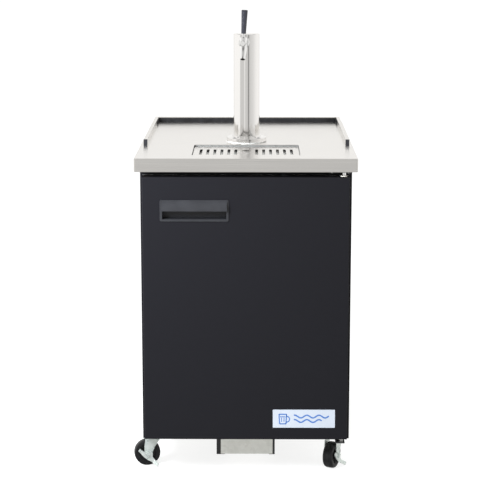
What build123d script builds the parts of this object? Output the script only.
"""A direct-draw keg dispenser: a refrigerated cabinet on casters with a draught tower on its counter.

Millimetres. X runs to the right, Y to the back and Z up. The origin is on the floor, under the
middle of the counter. Every piece is its own solid or group of solids, in its own STEP file.
"""
from build123d import *
import os
from math import cos, radians, sin, sqrt

os.makedirs("parts", exist_ok=True)

# ---------------------------------------------------------------- driving dimensions
COUNTER_WIDTH = 610.0
COUNTER_DEPTH = 790.0
COUNTER_TOP = 914.0  # a 36 in work height
COUNTER_LIP = 37.0
COUNTER_SHEET = 1.2
CABINET_WIDTH = 585.0
CABINET_FRONT = -333.0
CABINET_BACK = 385.0
CASTER_HEIGHT = 100.0  # floor to the underside of the base
SKIN = 1.0  # painted sheet of the cabinet and door
BEND = 1.5  # outside radius of a folded edge
FRONT_FLANGE = 19.5
REAR_FLANGE = 15.0

BAY_HALF = 246.0  # keg bay, inside faces
BAY_FLOOR = 150.0
BAY_BACK = 109.0
THROAT_TOP = 836.0
HEADER_BACK = -292.0
FOAM_BACK = 160.0

DOOR_HALF = 284.0
DOOR_FRONT = -384.0
DOOR_BACK = -343.0
DOOR_BOTTOM = 114.0
DOOR_TOP = 861.0
HINGE_X = 268.0
HINGE_Y = -365.0
HINGE_PIN_R = 4.0
TURN_GAP = 0.06  # clearance round a shaft that turns

BASIN_HALF_X = 150.0  # cut-out in the counter sheet
BASIN_FRONT = -334.0
BASIN_BACK = -134.0
LEDGE_Z = 906.5  # the drip grille rests here
BASIN_BOTTOM = 899.3

TOWER_HOLE_R = 33.0  # cold-air way from the cabinet into the tower
DRAIN_HOLE_R = 7.5
TOWER_SCREW_R = 2.4

RAIL_OUTER_X = 296.5
RAIL_BACK = 386.5
RAIL_FRONT = -129.0
RAIL_WIDE = 11.0
RAIL_HIGH = 15.0

TOWER_Y = -55.0
TOWER_R = 38.1  # 3 in tube
TOWER_WALL = 1.5
TOWER_TOP = 1228.0
TOWER_CAP = 3.0
TAP_Z = 1206.0  # axis of the faucet shank
TAP_TURN = 6.3  # degrees that the faucet looks to the left of straight ahead
KNOB_LEAN = 2.6  # degrees that the lever leans to the right
LEVER_REACH = 80.0  # lever's place in front of the tower axis
PIVOT_Z = TAP_Z + 12.0

STEM_X = 258.0  # caster king pins
STEM_FRONT = -268.0
STEM_REAR = 318.0
WHEEL_R = 37.5
TRAIL = 28.0
CASTERS = {  # corner: (x, y, heading of the wheel from its king pin in degrees, brake)
    "front_left": (-STEM_X, STEM_FRONT, 190.0, True),
    "front_right": (STEM_X, STEM_FRONT, 245.0, True),
    "rear_right": (STEM_X, STEM_REAR, 10.0, False),
    "rear_left": (-STEM_X, STEM_REAR, 65.0, False),
}

# ---------------------------------------------------------------- derived planes
half_cabinet = CABINET_WIDTH / 2
web = half_cabinet - SKIN
face_inside = CABINET_FRONT + SKIN
counter_bottom = COUNTER_TOP - COUNTER_LIP
sheet_under = COUNTER_TOP - COUNTER_SHEET
ceiling = counter_bottom - SKIN
base_top = CASTER_HEIGHT + 2.0
basin_centre_y = (BASIN_FRONT + BASIN_BACK) / 2


def block(low, high, mode=Mode.ADD):
    """A box between two opposite corners, added to or cut from the part being built."""
    with Locations(tuple((a + b) / 2 for a, b in zip(low, high))):
        Box(*[b - a for a, b in zip(low, high)], mode=mode)


def rod(start, direction, radius, length, mode=Mode.ADD):
    """A cylinder that starts at a point and runs along a direction."""
    with Locations(Plane(origin=start, z_dir=direction)):
        Cylinder(radius, length, align=(Align.CENTER, Align.CENTER, Align.MIN), mode=mode)


def write(part, name):
    """Label a finished piece and write its STEP file."""
    part.label = name
    export_step(part, f"parts/{name}.step")


# ---------------------------------------------------------------- fastener places
GRILLE_SCREW_X = 284.0
grille_screws = [(x, z) for x in (-GRILLE_SCREW_X, GRILLE_SCREW_X) for z in (130, 310, 490, 670, 850)]
hinge_screws = [(236.0, 108.5), (262.0, 108.5), (236.0, 867.5), (281.0, 867.5)]
GRILLE_SCREW_R = 2.0
HINGE_SCREW_R = 2.5
CASTER_BOLT_HOLE_R = 4.2
with BuildSketch() as tower_screw_marks:
    with PolarLocations(50.0, 4, start_angle=45):
        Circle(1)
tower_screws = [(face.center().X, TOWER_Y + face.center().Y) for face in tower_screw_marks.faces()]
caster_bolts = [
    (x + dx, y + dy) for x, y, _, _ in CASTERS.values() for dx in (-22.5, 22.5) for dy in (-36.0, 36.0)
]

# ================================================================ cabinet
for side, name in ((-1, "side_panel_left"), (1, "side_panel_right")):
    edge = side * half_cabinet
    front_end = edge - side * FRONT_FLANGE
    rear_end = edge - side * REAR_FLANGE
    with BuildPart() as side_panel:
        with BuildSketch(Plane.XY.offset(CASTER_HEIGHT)) as section:
            with BuildLine():
                Polyline(
                    (front_end, CABINET_FRONT),
                    (edge, CABINET_FRONT),
                    (edge, CABINET_BACK),
                    (rear_end, CABINET_BACK),
                    (rear_end, CABINET_BACK - SKIN),
                    (side * web, CABINET_BACK - SKIN),
                    (side * web, face_inside),
                    (front_end, face_inside),
                    close=True,
                )
            make_face()
            fillet(section.vertices().filter_by(lambda v: abs(v.X) > half_cabinet - 0.1), BEND)
        extrude(amount=counter_bottom - CASTER_HEIGHT)
        for x, z in grille_screws:
            if x * side > 0:
                rod((x, CABINET_BACK - 2, z), (0, 1, 0), GRILLE_SCREW_R, 4, Mode.SUBTRACT)
        for x, z in hinge_screws:
            if x * side > half_cabinet - FRONT_FLANGE:
                rod((x, CABINET_FRONT - 1, z), (0, 1, 0), HINGE_SCREW_R, 2, Mode.SUBTRACT)
    write(side_panel.part, name)

with BuildPart() as base_panel:
    block((-web, face_inside, CASTER_HEIGHT), (web, CABINET_BACK - SKIN, base_top))
    for x, y in caster_bolts:
        rod((x, y, CASTER_HEIGHT - 1), (0, 0, 1), CASTER_BOLT_HOLE_R, 4, Mode.SUBTRACT)
write(base_panel.part, "base_panel")

liner_x = BAY_HALF + SKIN
liner_back = BAY_BACK + SKIN
header_foam_back = HEADER_BACK - SKIN
with BuildPart() as cabinet_insulation:
    block((-web, face_inside, base_top), (web, FOAM_BACK, ceiling))
    block((-liner_x, face_inside, BAY_FLOOR - SKIN), (liner_x, liner_back, ceiling), Mode.SUBTRACT)
    block((-liner_x, face_inside, THROAT_TOP + SKIN), (liner_x, header_foam_back, ceiling))
write(cabinet_insulation.part, "cabinet_insulation")

with BuildPart() as inner_liner:
    block((-liner_x, face_inside, BAY_FLOOR - SKIN), (liner_x, liner_back, ceiling))
    block((-BAY_HALF, face_inside, BAY_FLOOR), (BAY_HALF, BAY_BACK, ceiling), Mode.SUBTRACT)
    block((-liner_x, face_inside, THROAT_TOP + SKIN), (liner_x, header_foam_back, ceiling), Mode.SUBTRACT)
    block((-BAY_HALF, face_inside, THROAT_TOP), (BAY_HALF, HEADER_BACK, THROAT_TOP + SKIN))
    block((-BAY_HALF, header_foam_back, THROAT_TOP), (BAY_HALF, HEADER_BACK, ceiling))
    block((-web, face_inside, ceiling), (web, FOAM_BACK, counter_bottom))
    rod((0, basin_centre_y, ceiling - 1), (0, 0, 1), 10.0, 3, Mode.SUBTRACT)
    rod((0, TOWER_Y, ceiling - 1), (0, 0, 1), TOWER_HOLE_R, 3, Mode.SUBTRACT)
write(inner_liner.part, "inner_liner")

FLOOR_PLATE_HALF = 236.0
FLOOR_PLATE_FRONT = -316.0
FLOOR_PLATE_BACK = 100.0
with BuildPart() as keg_floor_plate:
    block(
        (-FLOOR_PLATE_HALF, FLOOR_PLATE_FRONT, BAY_FLOOR),
        (FLOOR_PLATE_HALF, FLOOR_PLATE_BACK, BAY_FLOOR + 2),
    )
    fillet(keg_floor_plate.edges().filter_by(Axis.Z), 6)
    chamfer(keg_floor_plate.faces().sort_by(Axis.Z)[-1].edges(), 0.6)
write(keg_floor_plate.part, "keg_floor_plate")

FRAME_LIP = 12.0
lip_back = face_inside + FRAME_LIP
frame_edge = half_cabinet - FRONT_FLANGE
with BuildPart() as breaker_frame:
    block((-frame_edge, CABINET_FRONT, CASTER_HEIGHT), (frame_edge, face_inside, counter_bottom))
    block((-BAY_HALF, CABINET_FRONT, BAY_FLOOR), (BAY_HALF, lip_back, THROAT_TOP))
    block(
        (-BAY_HALF + SKIN, CABINET_FRONT, BAY_FLOOR + SKIN),
        (BAY_HALF - SKIN, lip_back, THROAT_TOP - SKIN),
        Mode.SUBTRACT,
    )
    for x, z in hinge_screws:
        if x < frame_edge:
            rod((x, CABINET_FRONT - 1, z), (0, 1, 0), HINGE_SCREW_R, 2, Mode.SUBTRACT)
write(breaker_frame.part, "breaker_frame")

# ---------------------------------------------------------------- rear grille with pressed louvres
LOUVRE_WIDE = 150.0
LOUVRE_HIGH = 12.0
LOUVRE_OUT = 4.0
GRILLE_HALF = 288.0
grille_back = CABINET_BACK + SKIN
GLAND_X = -200.0
GLAND_Z = 160.0
with BuildPart() as rear_grille:
    block((-GRILLE_HALF, CABINET_BACK, 101), (GRILLE_HALF, grille_back, 876))
    for x in (-176.0, 0.0, 176.0):
        for row in range(14):
            low = 232.0 + row * 44.0
            block(
                (x - LOUVRE_WIDE / 2, CABINET_BACK, low),
                (x + LOUVRE_WIDE / 2, grille_back, low + LOUVRE_HIGH),
                Mode.SUBTRACT,
            )
            with BuildSketch(Plane.YZ.offset(x - LOUVRE_WIDE / 2)):
                with BuildLine():
                    Polyline(
                        (CABINET_BACK, low + LOUVRE_HIGH + 2),
                        (grille_back, low + LOUVRE_HIGH + 2),
                        (grille_back + LOUVRE_OUT, low + 1),
                        (grille_back + LOUVRE_OUT - 1, low + 1),
                        (CABINET_BACK, low + LOUVRE_HIGH - 1),
                        close=True,
                    )
                make_face()
            extrude(amount=LOUVRE_WIDE)
    for x, z in grille_screws:
        rod((x, CABINET_BACK - 1, z), (0, 1, 0), GRILLE_SCREW_R, 4, Mode.SUBTRACT)
    rod((GLAND_X, CABINET_BACK - 1, GLAND_Z), (0, 1, 0), 10.0, 4, Mode.SUBTRACT)
write(rear_grille.part, "rear_grille")

with BuildPart() as power_gland:
    rod((GLAND_X, CABINET_BACK - 12, GLAND_Z), (0, 1, 0), 10.0, 13)
    rod((GLAND_X, grille_back, GLAND_Z), (0, 1, 0), 14.0, 4)
    fillet(power_gland.edges().group_by(Axis.Y)[-1], 2)
    rod((GLAND_X, CABINET_BACK - 13, GLAND_Z), (0, 1, 0), 4.5, 20, Mode.SUBTRACT)
write(power_gland.part, "power_gland")

# ================================================================ refrigeration
COMPRESSOR = (-120.0, 262.0)
FOOT_HIGH = 12.0
FOOT_X = 76.0
FOOT_Y = 63.0
DOME_HIGH = 138.0
with BuildPart() as compressor:
    with BuildSketch(Plane.XY.offset(base_top + FOOT_HIGH)):
        with Locations(COMPRESSOR):
            RectangleRounded(176, 150, 12)
    extrude(amount=3)
    with BuildSketch(Plane.XY.offset(base_top + FOOT_HIGH + 3)):
        with Locations(COMPRESSOR):
            Ellipse(74, 64)
    extrude(amount=DOME_HIGH)
    fillet(compressor.faces().sort_by(Axis.Z)[-1].edges(), 30)
    rod((COMPRESSOR[0], COMPRESSOR[1], base_top + DOME_HIGH + 12), (0, 0, 1), 7, 12)
    block((COMPRESSOR[0] - 24, 190, 150), (COMPRESSOR[0] + 24, 210, 205))
    for dx in (-FOOT_X, FOOT_X):
        for dy in (-FOOT_Y, FOOT_Y):
            rod((COMPRESSOR[0] + dx, COMPRESSOR[1] + dy, base_top), (0, 0, 1), 9, FOOT_HIGH)
write(compressor.part, "compressor")


def finned_coil(name, low, high, fins, tube_rows, tube_r, plate_span):
    """A block of thin fins on a bundle of tubes, held between two end plates."""
    pitch = (high[0] - low[0]) / (fins - 1)
    depth = high[1] - low[1]
    row_gap = (high[2] - low[2]) / tube_rows
    with BuildPart() as coil:
        for i in range(fins):
            x = low[0] + i * pitch
            block((x - 0.4, low[1], low[2]), (x + 0.4, high[1], high[2]))
        for x in (low[0] - 4, high[0] + 4):
            block((x - 1, low[1] - 2, plate_span[0]), (x + 1, high[1] + 2, plate_span[1]))
        for row in range(tube_rows):
            z = low[2] + (row + 0.5) * row_gap
            for y in (low[1] + depth / 4, high[1] - depth / 4):
                rod((low[0] - 9, y, z), (1, 0, 0), tube_r, high[0] - low[0] + 18)
            x_end = low[0] - 9 if row % 2 else high[0] + 9
            rod((x_end, low[1] + depth / 4 - 2, z), (0, 1, 0), tube_r + 1, depth / 2 + 4)
    write(coil.part, name)


finned_coil("condenser_coil", (30, 338, 128), (244, 370, 322), 20, 6, 4.0, (base_top, 330))
finned_coil("evaporator_coil", (-168, 56, 790), (44, 100, 862), 14, 3, 4.0, (780, ceiling))

CONDENSER_FAN = (137.0, 309.0, 225.0)
EVAPORATOR_FAN = (110.0, 37.0, 820.0)


def axial_fan(name, centre, tip_r, hub_r, hub_long, chord, blades, shaft_r, shaft_long):
    """A pitched-blade fan whose shaft runs away from its front, along Y."""
    with BuildPart(Plane(origin=centre, x_dir=(1, 0, 0), z_dir=(0, 1, 0))) as fan:
        Cylinder(hub_r, hub_long)
        reach = tip_r - hub_r + 2
        with PolarLocations(hub_r - 2 + reach / 2, blades):
            Box(reach, chord, 1.6, rotation=(28, 0, 0))
        with Locations((0, 0, shaft_long / 2)):
            Cylinder(shaft_r, abs(shaft_long))
    write(fan.part, name)


CONDENSER_SHAFT_R = 4.0
EVAPORATOR_SHAFT_R = 3.0
axial_fan("condenser_fan", CONDENSER_FAN, 85.0, 19.0, 18.0, 46.0, 5, CONDENSER_SHAFT_R, -44.0)
axial_fan("evaporator_fan", EVAPORATOR_FAN, 40.0, 10.0, 10.0, 20.0, 5, EVAPORATOR_SHAFT_R, 34.0)

MOTOR_GAP = 20.0  # condenser fan's centre to the face of its motor
MOTOR_R = 32.0
MOTOR_LONG = 56.0
SMALL_MOTOR_GAP = 16.0
SMALL_MOTOR_LONG = 34.0
with BuildPart() as fan_motors:
    x, y, z = CONDENSER_FAN
    motor_end = y - MOTOR_GAP - MOTOR_LONG
    rod((x, motor_end, z), (0, 1, 0), MOTOR_R, MOTOR_LONG)
    for leg in (-28, 25):
        block((x + leg, motor_end + 14, base_top), (x + leg + 3, motor_end + 44, z))
    rod((x, motor_end + 30, z), (0, 1, 0), CONDENSER_SHAFT_R + TURN_GAP, 27, Mode.SUBTRACT)
    x, y, z = EVAPORATOR_FAN
    motor_start = y + SMALL_MOTOR_GAP
    rod((x, motor_start, z), (0, 1, 0), 18, SMALL_MOTOR_LONG)
    block((x - 12, motor_start + SMALL_MOTOR_LONG, z - 8), (x + 12, BAY_BACK, z + 8))
    rod((x, motor_start - 1, z), (0, 1, 0), EVAPORATOR_SHAFT_R + TURN_GAP, 21, Mode.SUBTRACT)
write(fan_motors.part, "fan_motors")

COVER_HALF = 190.0
COVER_FRONT = 20.0
COVER_BOTTOM = 766.0
COVER_WALL = 1.5
KNOB_X = -130.0
KNOB_SHAFT_R = 3.0
VENT_LOW = 790.0
VENT_HIGH = 850.0
VENT_LEFT = -90.0
VENT_PITCH = 22.0
GUARD_HALF = 46.0
with BuildPart() as evaporator_cover:
    block((-COVER_HALF, COVER_FRONT, COVER_BOTTOM), (COVER_HALF, BAY_BACK, ceiling))
    block(
        (-COVER_HALF + COVER_WALL, COVER_FRONT + COVER_WALL, COVER_BOTTOM + COVER_WALL),
        (COVER_HALF - COVER_WALL, BAY_BACK, ceiling),
        Mode.SUBTRACT,
    )
    rod((EVAPORATOR_FAN[0], COVER_FRONT - 1, EVAPORATOR_FAN[2]), (0, 1, 0), 44, 4, Mode.SUBTRACT)
    for i in range(7):
        x = VENT_LEFT + i * VENT_PITCH
        block((x, COVER_FRONT, VENT_LOW), (x + 10, COVER_FRONT + COVER_WALL, VENT_HIGH), Mode.SUBTRACT)
    for bar in (-37, -25, -14, -1, 12, 23, 35):
        block(
            (EVAPORATOR_FAN[0] - GUARD_HALF, COVER_FRONT, EVAPORATOR_FAN[2] + bar),
            (EVAPORATOR_FAN[0] + GUARD_HALF, COVER_FRONT + COVER_WALL, EVAPORATOR_FAN[2] + bar + 2),
        )
    rod((KNOB_X, COVER_FRONT, EVAPORATOR_FAN[2]), (0, 1, 0), 8, 16)
    rod((KNOB_X, COVER_FRONT - 1, EVAPORATOR_FAN[2]), (0, 1, 0), KNOB_SHAFT_R + TURN_GAP, 18, Mode.SUBTRACT)
write(evaporator_cover.part, "evaporator_cover")

with BuildPart() as thermostat_knob:
    rod((KNOB_X, COVER_FRONT - 13, EVAPORATOR_FAN[2]), (0, 1, 0), 15, 12)
    fillet(thermostat_knob.edges().group_by(Axis.Y)[0], 2)
    pointer_low = EVAPORATOR_FAN[2]
    block((KNOB_X - 1.5, COVER_FRONT - 14.5, pointer_low), (KNOB_X + 1.5, COVER_FRONT - 10, pointer_low + 14))
    rod((KNOB_X, COVER_FRONT - 1, EVAPORATOR_FAN[2]), (0, 1, 0), KNOB_SHAFT_R, 15)
write(thermostat_knob.part, "thermostat_knob")

# ================================================================ counter
with BuildPart() as countertop:
    block(
        (-COUNTER_WIDTH / 2, -COUNTER_DEPTH / 2, counter_bottom),
        (COUNTER_WIDTH / 2, COUNTER_DEPTH / 2, COUNTER_TOP),
    )
    fillet(countertop.edges().filter_by(Axis.Z), 4)
    fillet(countertop.faces().sort_by(Axis.Z)[-1].edges(), 2)
    with BuildSketch(Plane.XY.offset(counter_bottom)):
        RectangleRounded(COUNTER_WIDTH - 2 * COUNTER_SHEET, COUNTER_DEPTH - 2 * COUNTER_SHEET, 2.8)
    extrude(amount=COUNTER_LIP - COUNTER_SHEET, mode=Mode.SUBTRACT)
    with BuildSketch(Plane.XY.offset(sheet_under)):
        with Locations((0, basin_centre_y)):
            RectangleRounded(2 * BASIN_HALF_X, BASIN_BACK - BASIN_FRONT, 4)
        with Locations((0, TOWER_Y)):
            Circle(TOWER_HOLE_R)
        with Locations(*tower_screws):
            Circle(TOWER_SCREW_R)
    extrude(amount=COUNTER_SHEET, mode=Mode.SUBTRACT)
write(countertop.part, "countertop")

with BuildPart() as counter_core:
    with BuildSketch(Plane.XY.offset(counter_bottom)):
        RectangleRounded(COUNTER_WIDTH - 2 * COUNTER_SHEET, COUNTER_DEPTH - 2 * COUNTER_SHEET, 2.8)
        with Locations((0, basin_centre_y)):
            Rectangle(2 * BASIN_HALF_X + 6, BASIN_BACK - BASIN_FRONT + 6, mode=Mode.SUBTRACT)
        with Locations((0, TOWER_Y)):
            Circle(TOWER_HOLE_R, mode=Mode.SUBTRACT)
        with Locations(*tower_screws):
            Circle(TOWER_SCREW_R, mode=Mode.SUBTRACT)
    extrude(amount=COUNTER_LIP - COUNTER_SHEET)
write(counter_core.part, "counter_core")

# ---------------------------------------------------------------- gallery rail on three sides
RAIL_SHEET = 1.2
rail_inner_x = RAIL_OUTER_X - RAIL_WIDE
rail_inner_y = RAIL_BACK - RAIL_WIDE
rail_top = COUNTER_TOP + RAIL_HIGH
with BuildPart() as gallery_rail:
    for side in (-1, 1):
        low_x, high_x = sorted((side * RAIL_OUTER_X, side * rail_inner_x))
        block((low_x, RAIL_FRONT, COUNTER_TOP), (high_x, RAIL_BACK, rail_top))
    block((-rail_inner_x, rail_inner_y, COUNTER_TOP), (rail_inner_x, RAIL_BACK, rail_top))
    fillet(gallery_rail.faces().sort_by(Axis.Z)[-1].edges(), 1.5)
    for side in (-1, 1):
        low_x, high_x = sorted((side * (RAIL_OUTER_X - RAIL_SHEET), side * (rail_inner_x + RAIL_SHEET)))
        block(
            (low_x, RAIL_FRONT, COUNTER_TOP),
            (high_x, RAIL_BACK - RAIL_SHEET, rail_top - RAIL_SHEET),
            Mode.SUBTRACT,
        )
    block(
        (-rail_inner_x - RAIL_SHEET, rail_inner_y + RAIL_SHEET, COUNTER_TOP),
        (rail_inner_x + RAIL_SHEET, RAIL_BACK - RAIL_SHEET, rail_top - RAIL_SHEET),
        Mode.SUBTRACT,
    )
write(gallery_rail.part, "gallery_rail")

with BuildPart() as rail_end_caps:
    for side in (-1, 1):
        middle = side * (RAIL_OUTER_X - RAIL_WIDE / 2)
        half = RAIL_WIDE / 2
        block((middle - half, RAIL_FRONT - 4, COUNTER_TOP), (middle + half, RAIL_FRONT, rail_top))
    fillet(rail_end_caps.edges().group_by(Axis.Y)[0].filter_by(Axis.X).group_by(Axis.Z)[-1], 1.5)
    for side in (-1, 1):
        middle = side * (RAIL_OUTER_X - RAIL_WIDE / 2)
        half = RAIL_WIDE / 2 - RAIL_SHEET - 0.4
        block((middle - half, RAIL_FRONT, COUNTER_TOP), (middle + half, RAIL_FRONT + 10, rail_top - 2))
write(rail_end_caps.part, "rail_end_caps")

BUMPER_THICK = 2.0
BUMPER_HIGH = 12.5
BUMPER_RETURN = 60.0
bumper_top = COUNTER_TOP + BUMPER_HIGH
with BuildPart() as rail_bumper:
    block((-rail_inner_x, rail_inner_y - BUMPER_THICK, COUNTER_TOP), (rail_inner_x, rail_inner_y, bumper_top))
    for side in (-1, 1):
        low_x, high_x = sorted((side * rail_inner_x, side * (rail_inner_x - BUMPER_THICK)))
        block((low_x, rail_inner_y - BUMPER_RETURN, COUNTER_TOP), (high_x, rail_inner_y, bumper_top))
write(rail_bumper.part, "rail_bumper")

# ---------------------------------------------------------------- drip tray
WELL_STEP = 8.8
with BuildPart() as drip_basin:
    outer = BASIN_HALF_X + 2
    low_y, high_y = BASIN_FRONT - 2, BASIN_BACK + 2
    block((-outer, low_y, LEDGE_Z - COUNTER_SHEET), (outer, high_y, sheet_under))
    block(
        (-outer + WELL_STEP, low_y + WELL_STEP, BASIN_BOTTOM),
        (outer - WELL_STEP, high_y - WELL_STEP, LEDGE_Z),
    )
    fillet(drip_basin.edges().filter_by(Axis.Z).group_by(Axis.Z)[0], 6)
    inset = COUNTER_SHEET
    block(
        (-outer + inset, low_y + inset, LEDGE_Z),
        (outer - inset, high_y - inset, sheet_under),
        Mode.SUBTRACT,
    )
    inset += WELL_STEP
    with BuildSketch(Plane.XY.offset(BASIN_BOTTOM + COUNTER_SHEET)):
        with Locations((0, basin_centre_y)):
            RectangleRounded(2 * (outer - inset), high_y - low_y - 2 * inset, 4.8)
    extrude(amount=LEDGE_Z - BASIN_BOTTOM - COUNTER_SHEET, mode=Mode.SUBTRACT)
    rod((0, basin_centre_y, BASIN_BOTTOM - 1), (0, 0, 1), DRAIN_HOLE_R, 5, Mode.SUBTRACT)
write(drip_basin.part, "drip_basin")

SLOT_PITCH = 19.6
SLOT_LONG = 99.0
SLOT_WIDE = 8.0
SLOT_CENTRE_Y = -241.0
GRILLE_TOP = 909.0
slot_places = [
    (side * (k + 1.5) * SLOT_PITCH, SLOT_CENTRE_Y - basin_centre_y) for side in (-1, 1) for k in range(6)
]
with BuildPart() as drip_grille:
    with BuildSketch(Plane.XY.offset(LEDGE_Z)):
        with Locations((0, basin_centre_y)):
            RectangleRounded(2 * BASIN_HALF_X - 2, BASIN_BACK - BASIN_FRONT - 2, 3.5)
    extrude(amount=GRILLE_TOP - LEDGE_Z)
    fillet(drip_grille.faces().sort_by(Axis.Z)[-1].edges(), 1)
    with BuildSketch(Plane.XY.offset(LEDGE_Z)):
        with Locations((0, basin_centre_y)):
            RectangleRounded(2 * BASIN_HALF_X - 4.4, BASIN_BACK - BASIN_FRONT - 4.4, 2.3)
    extrude(amount=GRILLE_TOP - LEDGE_Z - COUNTER_SHEET, mode=Mode.SUBTRACT)
    with BuildSketch(Plane.XY.offset(GRILLE_TOP - COUNTER_SHEET)):
        with Locations(*[(x, basin_centre_y + y) for x, y in slot_places]):
            SlotOverall(SLOT_LONG, SLOT_WIDE, rotation=90)
        with Locations((0, SLOT_CENTRE_Y + 24)):
            Circle(11.8)
    extrude(amount=COUNTER_SHEET, mode=Mode.SUBTRACT)
write(drip_grille.part, "drip_grille")

SPOUT_END = 850.0
with BuildPart() as drain_spout:
    rod((0, basin_centre_y, SPOUT_END), (0, 0, 1), 9.0, BASIN_BOTTOM - SPOUT_END)
    rod((0, basin_centre_y, BASIN_BOTTOM - 3), (0, 0, 1), 16.0, 3)
    drain_long = BASIN_BOTTOM - SPOUT_END + 2
    rod((0, basin_centre_y, SPOUT_END - 1), (0, 0, 1), DRAIN_HOLE_R, drain_long, Mode.SUBTRACT)
write(drain_spout.part, "drain_spout")

# ================================================================ draught tower
GASKET_THICK = 2.0
GASKET_R = 56.0
FLANGE_THICK = 12.0
FLANGE_R = 58.5
gasket_top = COUNTER_TOP + GASKET_THICK
flange_top = gasket_top + FLANGE_THICK
with BuildPart() as tower_gasket:
    with BuildSketch(Plane.XY.offset(COUNTER_TOP)):
        with Locations((0, TOWER_Y)):
            Circle(GASKET_R)
            Circle(TOWER_HOLE_R, mode=Mode.SUBTRACT)
        with Locations(*tower_screws):
            Circle(TOWER_SCREW_R, mode=Mode.SUBTRACT)
    extrude(amount=GASKET_THICK)
write(tower_gasket.part, "tower_gasket")

with BuildPart() as tower_flange:
    rod((0, TOWER_Y, gasket_top), (0, 0, 1), FLANGE_R, FLANGE_THICK)
    fillet(tower_flange.edges().sort_by(Axis.Z)[-1], 3.5)
    rod((0, TOWER_Y, flange_top), (0, 0, 1), TOWER_R + 3, 4)
    fillet(tower_flange.edges().sort_by(Axis.Z)[-1], 1.5)
    rod((0, TOWER_Y, gasket_top - 1), (0, 0, 1), TOWER_HOLE_R, 20, Mode.SUBTRACT)
    rod((0, TOWER_Y, gasket_top + 4), (0, 0, 1), TOWER_R, 20, Mode.SUBTRACT)
    for x, y in tower_screws:
        rod((x, y, gasket_top - 1), (0, 0, 1), TOWER_SCREW_R, 20, Mode.SUBTRACT)
write(tower_flange.part, "tower_flange")

forward = (-sin(radians(TAP_TURN)), -cos(radians(TAP_TURN)), 0)
sideways = (-cos(radians(TAP_TURN)), sin(radians(TAP_TURN)), 0)


def tap_point(reach, z, across=0.0):
    """A point in front of the tower axis, along the faucet, at a height and to one side."""
    return (
        reach * forward[0] - across * sideways[0],
        TOWER_Y + reach * forward[1] - across * sideways[1],
        z,
    )


column_bottom = gasket_top + 4
column_top = TOWER_TOP - TOWER_CAP
with BuildPart() as tower_column:
    rod((0, TOWER_Y, column_bottom), (0, 0, 1), TOWER_R, column_top - column_bottom)
    rod((0, TOWER_Y, column_bottom - 1), (0, 0, 1), TOWER_R - TOWER_WALL, 400, Mode.SUBTRACT)
    rod(tap_point(20, TAP_Z), forward, 8.5, 30, Mode.SUBTRACT)
write(tower_column.part, "tower_column")

with BuildPart() as tower_cap:
    rod((0, TOWER_Y, column_top), (0, 0, 1), TOWER_R, TOWER_CAP)
    fillet(tower_cap.edges().sort_by(Axis.Z)[-1], 2)
    rod((0, TOWER_Y, column_top - 3), (0, 0, 1), TOWER_R - TOWER_WALL - 0.05, 3)
    rod((0, TOWER_Y, column_top - 4), (0, 0, 1), TOWER_R - TOWER_WALL - 3, 4, Mode.SUBTRACT)
write(tower_cap.part, "tower_cap")

# ---------------------------------------------------------------- faucet
THREAD_R = 11.0
with BuildPart() as faucet_shank:
    rod(tap_point(33, TAP_Z), forward, 15, 11)
    fillet(faucet_shank.edges().filter_by(GeomType.CIRCLE).sort_by(Axis.Y)[0], 1.5)
    rod((0, TOWER_Y, TAP_Z - 60), (0, 0, 1), TOWER_R, 120, Mode.SUBTRACT)
    rod(tap_point(44, TAP_Z), forward, THREAD_R, 10)
    rod(tap_point(-8, TAP_Z), forward, 8.4, 56)
    rod(tap_point(-26, TAP_Z), forward, 4.5, 20)
    rod(tap_point(-22, TAP_Z), forward, 5.6, 3)
    rod(tap_point(-27, TAP_Z), forward, 3, 84, Mode.SUBTRACT)
write(faucet_shank.part, "faucet_shank")

with BuildPart() as coupling_nut:
    rod(tap_point(46, TAP_Z), forward, 16, 16)
    fillet(coupling_nut.edges().filter_by(GeomType.CIRCLE), 1.2)
    rod(tap_point(45, TAP_Z), forward, THREAD_R, 14.5, Mode.SUBTRACT)
    rod(tap_point(58, TAP_Z), forward, 8.9, 6, Mode.SUBTRACT)
    for turn in range(6):
        angle = radians(60 * turn + 30)
        radial = (-cos(angle) * sideways[0], -cos(angle) * sideways[1], sin(angle))
        start = tap_point(53, TAP_Z + 13 * sin(angle), 13 * cos(angle))
        rod(start, radial, 2.2, 6, Mode.SUBTRACT)
write(coupling_nut.part, "coupling_nut")

BARREL_R = 8.9
NECK_HIGH = 9.0
BARREL_BORE = 6.0
BARREL_END = 96.0
SPOUT_TILT = 30.0
SPOUT_LONG = 50.0
SPOUT_BORE = 5.5
spout_dir = (
    forward[0] * sin(radians(SPOUT_TILT)),
    forward[1] * sin(radians(SPOUT_TILT)),
    -cos(radians(SPOUT_TILT)),
)
spout_start = tap_point(72, TAP_Z - 1)
spout_frame = Plane(origin=spout_start, x_dir=sideways, z_dir=spout_dir)
with BuildPart() as faucet_body:
    with BuildSketch(spout_frame):
        Circle(8.0)
    with BuildSketch(spout_frame.offset(14)):
        Circle(10.0)
    with BuildSketch(spout_frame.offset(32)):
        Circle(9.0)
    with BuildSketch(spout_frame.offset(SPOUT_LONG)):
        Circle(7.3)
    loft()
    rod(tap_point(55, TAP_Z), forward, 10.8, 4.5)
    rod(tap_point(59, TAP_Z), forward, BARREL_R, BARREL_END - 59)
    fillet(faucet_body.edges().filter_by(GeomType.CIRCLE).sort_by(Axis.Y)[0], 2.5)
    rod(tap_point(LEVER_REACH, TAP_Z), (0, 0, 1), 9.5, NECK_HIGH)
    rod(tap_point(54, TAP_Z), forward, BARREL_BORE, 39, Mode.SUBTRACT)
    rod(tap_point(LEVER_REACH, TAP_Z + 2), (0, 0, 1), 7.5, 10, Mode.SUBTRACT)
    rod(spout_start, spout_dir, SPOUT_BORE, SPOUT_LONG + 5, Mode.SUBTRACT)
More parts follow.
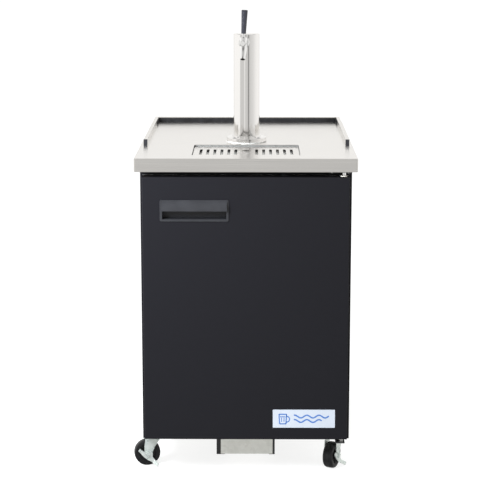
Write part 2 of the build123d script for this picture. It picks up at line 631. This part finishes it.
write(faucet_body.part, "faucet_body")

BALL_R = 6.9
CAVITY_R = 7.0
LEVER_PIN_R = 1.5
LEVER_PIN_HALF = 8.8  # the pin's ends turn in the bonnet's wall
with BuildPart() as faucet_bonnet:
    rod(tap_point(LEVER_REACH, TAP_Z + NECK_HIGH), (0, 0, 1), 10.5, 8)
    fillet(faucet_bonnet.edges().sort_by(Axis.Z)[-1], 1.5)
    rod(tap_point(LEVER_REACH, TAP_Z + 7), (0, 0, 1), CAVITY_R, PIVOT_Z - TAP_Z - 7, Mode.SUBTRACT)
    with Locations(tap_point(LEVER_REACH, PIVOT_Z)):
        Sphere(CAVITY_R, mode=Mode.SUBTRACT)
    with Locations(tap_point(LEVER_REACH, PIVOT_Z + 3)):
        Cone(
            sqrt(CAVITY_R**2 - 9) - 0.02,
            8.0,
            2.5,
            align=(Align.CENTER, Align.CENTER, Align.MIN),
            mode=Mode.SUBTRACT,
        )
    pin_end = tap_point(LEVER_REACH, PIVOT_Z, LEVER_PIN_HALF + 0.1)
    rod(pin_end, sideways, LEVER_PIN_R + TURN_GAP, 2 * LEVER_PIN_HALF + 0.2, Mode.SUBTRACT)
write(faucet_bonnet.part, "faucet_bonnet")

stem_dir = (
    -sideways[0] * sin(radians(KNOB_LEAN)),
    -sideways[1] * sin(radians(KNOB_LEAN)),
    cos(radians(KNOB_LEAN)),
)
FINGER_R = 2.4  # the lever's lower end, which pushes the plunger
FINGER_LONG = 11.6
KNOB_START = 15.5  # above the lever's pivot, along the stem
KNOB_LONG = 67.0
pivot = tap_point(LEVER_REACH, PIVOT_Z)
lever_frame = Plane(origin=pivot, x_dir=forward, z_dir=stem_dir)
with BuildPart() as faucet_lever:
    with Locations(pivot):
        Sphere(BALL_R)
    rod(tap_point(LEVER_REACH, PIVOT_Z, LEVER_PIN_HALF), sideways, LEVER_PIN_R, 2 * LEVER_PIN_HALF)
    rod(pivot, (0, 0, -1), FINGER_R, FINGER_LONG)
    with Locations(tap_point(LEVER_REACH, PIVOT_Z - FINGER_LONG)):
        Sphere(FINGER_R)
    rod(pivot, stem_dir, 3.0, KNOB_START + 14)
    with Locations(lever_frame.offset(KNOB_START - 3.5)):
        Cylinder(5.0, 3.5, align=(Align.CENTER, Align.CENTER, Align.MIN))
write(faucet_lever.part, "faucet_lever")

with BuildPart() as tap_knob:
    with BuildSketch(lever_frame.offset(KNOB_START)):
        Circle(6.8)
    with BuildSketch(lever_frame.offset(KNOB_START + KNOB_LONG * 0.45)):
        Ellipse(7.6, 7.8)
    with BuildSketch(lever_frame.offset(KNOB_START + KNOB_LONG)):
        Ellipse(8.6, 9.1)
    loft()
    knob_ends = tap_knob.faces().filter_by(GeomType.PLANE).sort_by(Axis.Z)
    fillet(knob_ends[-1].edges(), 2)
    with Locations(lever_frame.offset(KNOB_START)):
        Cylinder(3.0, 14, align=(Align.CENTER, Align.CENTER, Align.MIN), mode=Mode.SUBTRACT)
write(tap_knob.part, "tap_knob")

with BuildPart() as faucet_plunger:
    rod(tap_point(62, TAP_Z), forward, 5.65, 30)
    fillet(faucet_plunger.edges().filter_by(GeomType.CIRCLE), 0.8)
    with Locations(Plane(origin=tap_point(LEVER_REACH + 3, TAP_Z), x_dir=forward, z_dir=(0, 0, 1))):
        Box(13, 5.6, 14, mode=Mode.SUBTRACT)
write(faucet_plunger.part, "faucet_plunger")

# ================================================================ door
HANDLE_LEFT = -236.0
HANDLE_RIGHT = -47.0
HANDLE_LOW = 738.0
HANDLE_HIGH = 798.0
HANDLE_RIM = 5.0
BUSH_R = 7.0
BUSH_LONG = 14.0
pocket_low = (HANDLE_LEFT + HANDLE_RIM, DOOR_FRONT, HANDLE_LOW + HANDLE_RIM)
pocket_high = (HANDLE_RIGHT - HANDLE_RIM, DOOR_FRONT + 30, HANDLE_HIGH - HANDLE_RIM)
skin_back = DOOR_BACK - 2
with BuildPart() as door_skin:
    block((-DOOR_HALF, DOOR_FRONT, DOOR_BOTTOM), (DOOR_HALF, skin_back, DOOR_TOP))
    fillet(door_skin.faces().sort_by(Axis.Y)[0].edges(), 2.5)
    block(
        (-DOOR_HALF + SKIN, DOOR_FRONT + SKIN, DOOR_BOTTOM + SKIN),
        (DOOR_HALF - SKIN, skin_back, DOOR_TOP - SKIN),
        Mode.SUBTRACT,
    )
    block(pocket_low, (pocket_high[0], DOOR_FRONT + SKIN, pocket_high[2]), Mode.SUBTRACT)
    for z in (DOOR_BOTTOM - 1, DOOR_TOP - 2):
        rod((HINGE_X, HINGE_Y, z), (0, 0, 1), BUSH_R, 3, Mode.SUBTRACT)
write(door_skin.part, "door_skin")

with BuildPart() as door_insulation:
    block(
        (-DOOR_HALF + SKIN, DOOR_FRONT + SKIN, DOOR_BOTTOM + SKIN),
        (DOOR_HALF - SKIN, skin_back, DOOR_TOP - SKIN),
    )
    fillet(door_insulation.faces().sort_by(Axis.Y)[0].edges(), 1.5)
    block(pocket_low, pocket_high, Mode.SUBTRACT)
    for z in (DOOR_BOTTOM, DOOR_TOP - BUSH_LONG):
        rod((HINGE_X, HINGE_Y, z), (0, 0, 1), BUSH_R, BUSH_LONG, Mode.SUBTRACT)
write(door_insulation.part, "door_insulation")

DYKE = 8.0  # raised panel inside the gasket
DYKE_HALF = 236.0
DYKE_LOW = 155.0
DYKE_HIGH = 831.0
with BuildPart() as door_liner:
    block((-DOOR_HALF, skin_back, DOOR_BOTTOM), (DOOR_HALF, DOOR_BACK, DOOR_TOP))
    with BuildSketch(Plane.XZ.offset(-DOOR_BACK)):
        with Locations((0, (DYKE_LOW + DYKE_HIGH) / 2)):
            RectangleRounded(2 * DYKE_HALF, DYKE_HIGH - DYKE_LOW, 12)
    extrude(amount=-DYKE)
    fillet(door_liner.faces().sort_by(Axis.Y)[-1].edges(), 3)
write(door_liner.part, "door_liner")

GASKET_BACK = -333.3
GASKET_HALF = 264.0
GASKET_LOW = 131.0
GASKET_HIGH = 855.0
GASKET_WIDE = 17.0
with BuildPart() as door_gasket:
    block((-GASKET_HALF, DOOR_BACK, GASKET_LOW), (GASKET_HALF, GASKET_BACK, GASKET_HIGH))
    fillet(door_gasket.edges().filter_by(Axis.Y), 6)
    gasket_inner = GASKET_HALF - GASKET_WIDE
    block(
        (-gasket_inner, DOOR_BACK, GASKET_LOW + GASKET_WIDE),
        (gasket_inner, GASKET_BACK, GASKET_HIGH - GASKET_WIDE),
        Mode.SUBTRACT,
    )
write(door_gasket.part, "door_gasket")

VISOR_FRONT = -394.0
VISOR_LOW = 768.0
HANDLE_WALL = 1.5
rim_front = DOOR_FRONT - 2.5
with BuildPart() as door_handle:
    block((HANDLE_LEFT, rim_front, HANDLE_LOW), (HANDLE_RIGHT, DOOR_FRONT, HANDLE_HIGH))
    fillet(door_handle.edges().filter_by(Axis.Y), 5)
    fillet(door_handle.faces().sort_by(Axis.Y)[0].edges(), 1)
    block(pocket_low, pocket_high)
    with BuildSketch(Plane.YZ.offset(pocket_low[0])):
        with BuildLine():
            crown = ThreePointArc((rim_front, 796), (-391, 786), (VISOR_FRONT, VISOR_LOW))
            Polyline(crown @ 1, (rim_front, VISOR_LOW), (rim_front, 796))
        make_face()
    extrude(amount=pocket_high[0] - pocket_low[0])
    with BuildSketch(Plane.YZ.offset(pocket_low[0] + HANDLE_WALL)):
        with BuildLine():
            hollow = ThreePointArc((rim_front, 791), (-389, 783), (VISOR_FRONT + 2.2, VISOR_LOW))
            Polyline(hollow @ 1, (rim_front, VISOR_LOW), (rim_front, 791))
        make_face()
    extrude(amount=pocket_high[0] - pocket_low[0] - 2 * HANDLE_WALL, mode=Mode.SUBTRACT)
    block(
        (pocket_low[0] + HANDLE_WALL, rim_front, pocket_low[2] + HANDLE_WALL),
        [value - HANDLE_WALL for value in pocket_high],
        Mode.SUBTRACT,
    )
write(door_handle.part, "door_handle")

BADGE_WIDE = 174.0
BADGE_HIGH = 52.5
BADGE_CENTRE = (162.5, 175.5)
with BuildPart() as door_badge:
    with BuildSketch(Plane.XZ.offset(-DOOR_FRONT)):
        with Locations(BADGE_CENTRE):
            RectangleRounded(BADGE_WIDE, BADGE_HIGH, 2)
    extrude(amount=1.2)
write(door_badge.part, "door_badge")

BUSH_FLANGE = 2.0
with BuildPart() as door_bushes:
    for z, flange_z in ((DOOR_BOTTOM, DOOR_BOTTOM - BUSH_FLANGE), (DOOR_TOP - BUSH_LONG, DOOR_TOP)):
        rod((HINGE_X, HINGE_Y, z), (0, 0, 1), BUSH_R, BUSH_LONG)
        rod((HINGE_X, HINGE_Y, flange_z), (0, 0, 1), 9.0, BUSH_FLANGE)
    rod((HINGE_X, HINGE_Y, CASTER_HEIGHT), (0, 0, 1), HINGE_PIN_R + TURN_GAP, 800, Mode.SUBTRACT)
write(door_bushes.part, "door_bushes")

BRACKET_SHEET = 3.0
leg_front = CABINET_FRONT - BRACKET_SHEET
LEG_LEFT = 228.0
SHELF_LEFT = 252.0
LOWER_SHELF = 101.0
UPPER_SHELF = 873.0
COLLAR_R = 5.5
bracket_levels = (  # leg's foot, leg's top, shelf's foot, right end
    (LOWER_SHELF, 113.0, LOWER_SHELF, 278.0),
    (862.5, UPPER_SHELF + BRACKET_SHEET, UPPER_SHELF, 290.0),
)
with BuildPart() as hinge_brackets:
    for leg_low, leg_high, shelf, right in bracket_levels:
        block((LEG_LEFT, leg_front, leg_low), (right, CABINET_FRONT, leg_high))
        block((SHELF_LEFT, HINGE_Y - 13, shelf), (right, CABINET_FRONT, shelf + BRACKET_SHEET))
        rod((HINGE_X, HINGE_Y, shelf - 1), (0, 0, 1), HINGE_PIN_R, 5, Mode.SUBTRACT)
    for x, z in hinge_screws:
        rod((x, leg_front - 1, z), (0, 1, 0), HINGE_SCREW_R, 5, Mode.SUBTRACT)
write(hinge_brackets.part, "hinge_brackets")

lower_collar = LOWER_SHELF + BRACKET_SHEET
upper_collar = DOOR_TOP + BUSH_FLANGE + 0.3
with BuildPart() as hinge_pins:
    rod((HINGE_X, HINGE_Y, LOWER_SHELF), (0, 0, 1), HINGE_PIN_R, 25)
    rod((HINGE_X, HINGE_Y, lower_collar), (0, 0, 1), COLLAR_R, DOOR_BOTTOM - BUSH_FLANGE - 0.3 - lower_collar)
    rod((HINGE_X, HINGE_Y, UPPER_SHELF - 24), (0, 0, 1), HINGE_PIN_R, 24 + BRACKET_SHEET)
    rod((HINGE_X, HINGE_Y, upper_collar), (0, 0, 1), COLLAR_R, UPPER_SHELF - upper_collar)
write(hinge_pins.part, "hinge_pins")

# ---------------------------------------------------------------- small screws on the cabinet
HEAD_HIGH = 2.5
GRILLE_HEAD_HIGH = 2.0
TOWER_SCREW_END = 890.0
with BuildPart() as screws:
    for x, z in grille_screws:
        rod((x, CABINET_BACK - 10, z), (0, 1, 0), 1.8, 11)
        rod((x, grille_back, z), (0, 1, 0), 4.2, GRILLE_HEAD_HIGH)
    for x, z in hinge_screws:
        rod((x, leg_front, z), (0, 1, 0), HINGE_SCREW_R, 4)
        rod((x, leg_front - HEAD_HIGH, z), (0, 1, 0), 4.0, HEAD_HIGH)
    for x, y in tower_screws:
        rod((x, y, TOWER_SCREW_END), (0, 0, 1), TOWER_SCREW_R, flange_top - TOWER_SCREW_END)
        rod((x, y, flange_top), (0, 0, 1), 4.5, HEAD_HIGH)
write(screws.part, "screws")

# ================================================================ condensate pan under the base
PAN_LEFT = -72.5
PAN_RIGHT = 76.5
PAN_FRONT = -302.0
PAN_LONG = 244.0
PAN_LOW = 42.0
PAN_HIGH = 92.0
PAN_SHEET = 1.0
with BuildPart() as drain_pan:
    block((PAN_LEFT, PAN_FRONT, PAN_LOW), (PAN_RIGHT, PAN_FRONT + PAN_LONG, PAN_HIGH))
    fillet(drain_pan.edges().filter_by(Axis.Z), 2)
    block(
        (PAN_LEFT + PAN_SHEET, PAN_FRONT + PAN_SHEET, PAN_LOW + PAN_SHEET),
        (PAN_RIGHT - PAN_SHEET, PAN_FRONT + PAN_LONG - PAN_SHEET, PAN_HIGH),
        Mode.SUBTRACT,
    )
write(drain_pan.part, "drain_pan")

HANGER = 1.6  # sheet of the two rails that the pan slides on
HANGER_LOW = 40.0
hanger_front = PAN_FRONT + 2
hanger_back = PAN_FRONT + PAN_LONG + 10
with BuildPart() as pan_rails:
    for side, inner, tab in ((-1, PAN_LEFT - 0.5, 11.5), (1, PAN_RIGHT + 0.5, 5.5)):
        for x0, x1, y1, z0, z1 in (
            (inner, inner + side * HANGER, hanger_back, HANGER_LOW, CASTER_HEIGHT),
            (inner - side * 12, inner + side * HANGER, hanger_back, HANGER_LOW, HANGER_LOW + HANGER),
            (inner, inner + side * 16, hanger_back, CASTER_HEIGHT - HANGER, CASTER_HEIGHT),
            (inner, inner + side * tab, hanger_front + HANGER, HANGER_LOW, CASTER_HEIGHT),
        ):
            block((min(x0, x1), hanger_front, z0), (max(x0, x1), y1, z1))
write(pan_rails.part, "pan_rails")

# ================================================================ casters
RACE_LOW = 92.5
RACE_R = 25.0
PLATE_LOW = 97.5
PLATE_HALF_X = 30.0
PLATE_HALF_Y = 46.0
KING_PIN_R = 5.0
KING_PIN_END = 80.5
KING_HEAD_R = 9.0
with BuildPart() as caster_plates:
    for x, y, _, _ in CASTERS.values():
        block(
            (x - PLATE_HALF_X, y - PLATE_HALF_Y, PLATE_LOW),
            (x + PLATE_HALF_X, y + PLATE_HALF_Y, CASTER_HEIGHT),
        )
        rod((x, y, RACE_LOW), (0, 0, 1), RACE_R, PLATE_LOW - RACE_LOW)
        rod((x, y, KING_PIN_END), (0, 0, 1), KING_PIN_R, 15)
        rod((x, y, KING_PIN_END), (0, 0, 1), KING_HEAD_R, 3.5)
    for x, y in caster_bolts:
        rod((x, y, PLATE_LOW - 1), (0, 0, 1), CASTER_BOLT_HOLE_R, 5, Mode.SUBTRACT)
write(caster_plates.part, "caster_plates")

with BuildPart() as bolt_group:
    with BuildSketch(Plane.XY.offset(PLATE_LOW - 4)):
        with Locations(*caster_bolts):
            RegularPolygon(7.2, 6)
    extrude(amount=4)
    for x, y in caster_bolts:
        rod((x, y, PLATE_LOW), (0, 0, 1), 4.0, base_top - PLATE_LOW)
write(bolt_group.part, "caster_bolts")

# Each caster is drawn once, with its king pin on Z and its wheel trailing along +X, then turned.
LEG_IN = 17.5
LEG_OUT = 19.5
NUT_OUT = 22.5
AXLE_R = 4.0
AXLE_HEAD_R = 6.5
FORK_LOW = 86.0
FORK_HEAD_R = 27.0
TYRE_HALF = 15.0
HUB_R = 26.0
HUB_HALF = 13.0
BOSS_R = 11.0
BOSS_HALF = 17.2
LEVER_IN = 19.8
LEVER_OUT = 22.3
axle_z = WHEEL_R


def caster_fork(brake):
    """The swivelling fork, with the axle bolt fixed in its two legs."""
    head_in = LEVER_OUT + 0.3 if brake else LEG_OUT
    head_out = head_in + NUT_OUT - LEG_OUT
    with BuildPart() as fork:
        rod((0, 0, FORK_LOW), (0, 0, 1), FORK_HEAD_R, 6)
        fillet(fork.edges().sort_by(Axis.Z)[-1], 2)
        block((0, -LEG_OUT, FORK_LOW), (34, LEG_OUT, FORK_LOW + 2.5))
        for foot in (-LEG_OUT, LEG_IN):
            with BuildSketch(Plane.XZ.offset(-foot)) as leg:
                with BuildLine():
                    Polyline((-12, 88), (34, 88), (38, 60), (38, 37.5), (18, 33), (8, 58), close=True)
                make_face()
                with Locations((TRAIL, axle_z)):
                    Circle(10)
            extrude(amount=-(LEG_OUT - LEG_IN))
        rod((TRAIL, -NUT_OUT, axle_z), (0, 1, 0), AXLE_R, NUT_OUT + head_out)
        rod((TRAIL, -NUT_OUT, axle_z), (0, 1, 0), AXLE_HEAD_R, NUT_OUT - LEG_OUT)
        rod((TRAIL, head_in, axle_z), (0, 1, 0), AXLE_HEAD_R, head_out - head_in)
        rod((0, 0, FORK_LOW - 1.5), (0, 0, 1), KING_PIN_R + 0.08, 10, Mode.SUBTRACT)
        rod((0, 0, FORK_LOW - 7), (0, 0, 1), KING_HEAD_R + 0.5, 7, Mode.SUBTRACT)
    return fork.part


with BuildPart() as wheel:
    rod((TRAIL, -TYRE_HALF, axle_z), (0, 1, 0), WHEEL_R, 2 * TYRE_HALF)
    fillet(wheel.edges().filter_by(GeomType.CIRCLE), 7)
    rod((TRAIL, -TYRE_HALF - 1, axle_z), (0, 1, 0), HUB_R, 2 * TYRE_HALF + 2, Mode.SUBTRACT)
tyre = wheel.part
with BuildPart() as hub_core:
    rod((TRAIL, -HUB_HALF, axle_z), (0, 1, 0), HUB_R, 2 * HUB_HALF)
    rod((TRAIL, -BOSS_HALF, axle_z), (0, 1, 0), BOSS_R, 2 * BOSS_HALF)
    rod((TRAIL, -BOSS_HALF - 1, axle_z), (0, 1, 0), AXLE_R + TURN_GAP, 2 * BOSS_HALF + 2, Mode.SUBTRACT)
hub = hub_core.part

TOE_LONG = 19.0
TOE_WIDE = 10.0
TOE_BEND = 42.0  # degrees that the toe turns out from the lever's plate
ARM_SLOPE = 42.0  # degrees that the lever slopes below level
lever_sheet = LEVER_OUT - LEVER_IN
toe_dir = (
    -cos(radians(TOE_BEND)) * cos(radians(ARM_SLOPE)),
    sin(radians(TOE_BEND)),
    -cos(radians(TOE_BEND)) * sin(radians(ARM_SLOPE)),
)
toe_normal = (
    sin(radians(TOE_BEND)) * cos(radians(ARM_SLOPE)),
    cos(radians(TOE_BEND)),
    sin(radians(TOE_BEND)) * sin(radians(ARM_SLOPE)),
)
with BuildPart() as brake_lever:
    with BuildSketch(Plane.XZ.offset(-LEVER_IN)):
        with BuildLine():
            Polyline(
                (56, 48),
                (51, 54),
                (40, 45),
                (15, 45),
                (15, 28),
                (8, 19),
                (14.5, 11.5),
                (31, 21),
                (41, 30),
                close=True,
            )
        make_face()
        with Locations((TRAIL, axle_z)):
            Circle(9.5)
    extrude(amount=-lever_sheet)
    with Locations(Plane(origin=(12.2, (LEVER_IN + LEVER_OUT) / 2, 16), x_dir=toe_dir, z_dir=toe_normal)):
        Box(TOE_LONG, TOE_WIDE, lever_sheet, align=(Align.MIN, Align.CENTER, Align.CENTER))
    block((TRAIL - 40, LEG_OUT - 5, 0), (TRAIL + 40, LEVER_IN, 60), Mode.SUBTRACT)
    rod((TRAIL, LEVER_IN - 1, axle_z), (0, 1, 0), AXLE_R + TURN_GAP, 5, Mode.SUBTRACT)

for corner, (x, y, heading, brake) in CASTERS.items():
    place = Location((x, y, 0), (0, 0, heading))
    write(caster_fork(brake).moved(place), f"caster_fork_{corner}")
    write(Compound([tyre, hub]).moved(place), f"caster_wheel_{corner}")
    if brake:
        write(brake_lever.part.moved(place), f"brake_lever_{corner}")
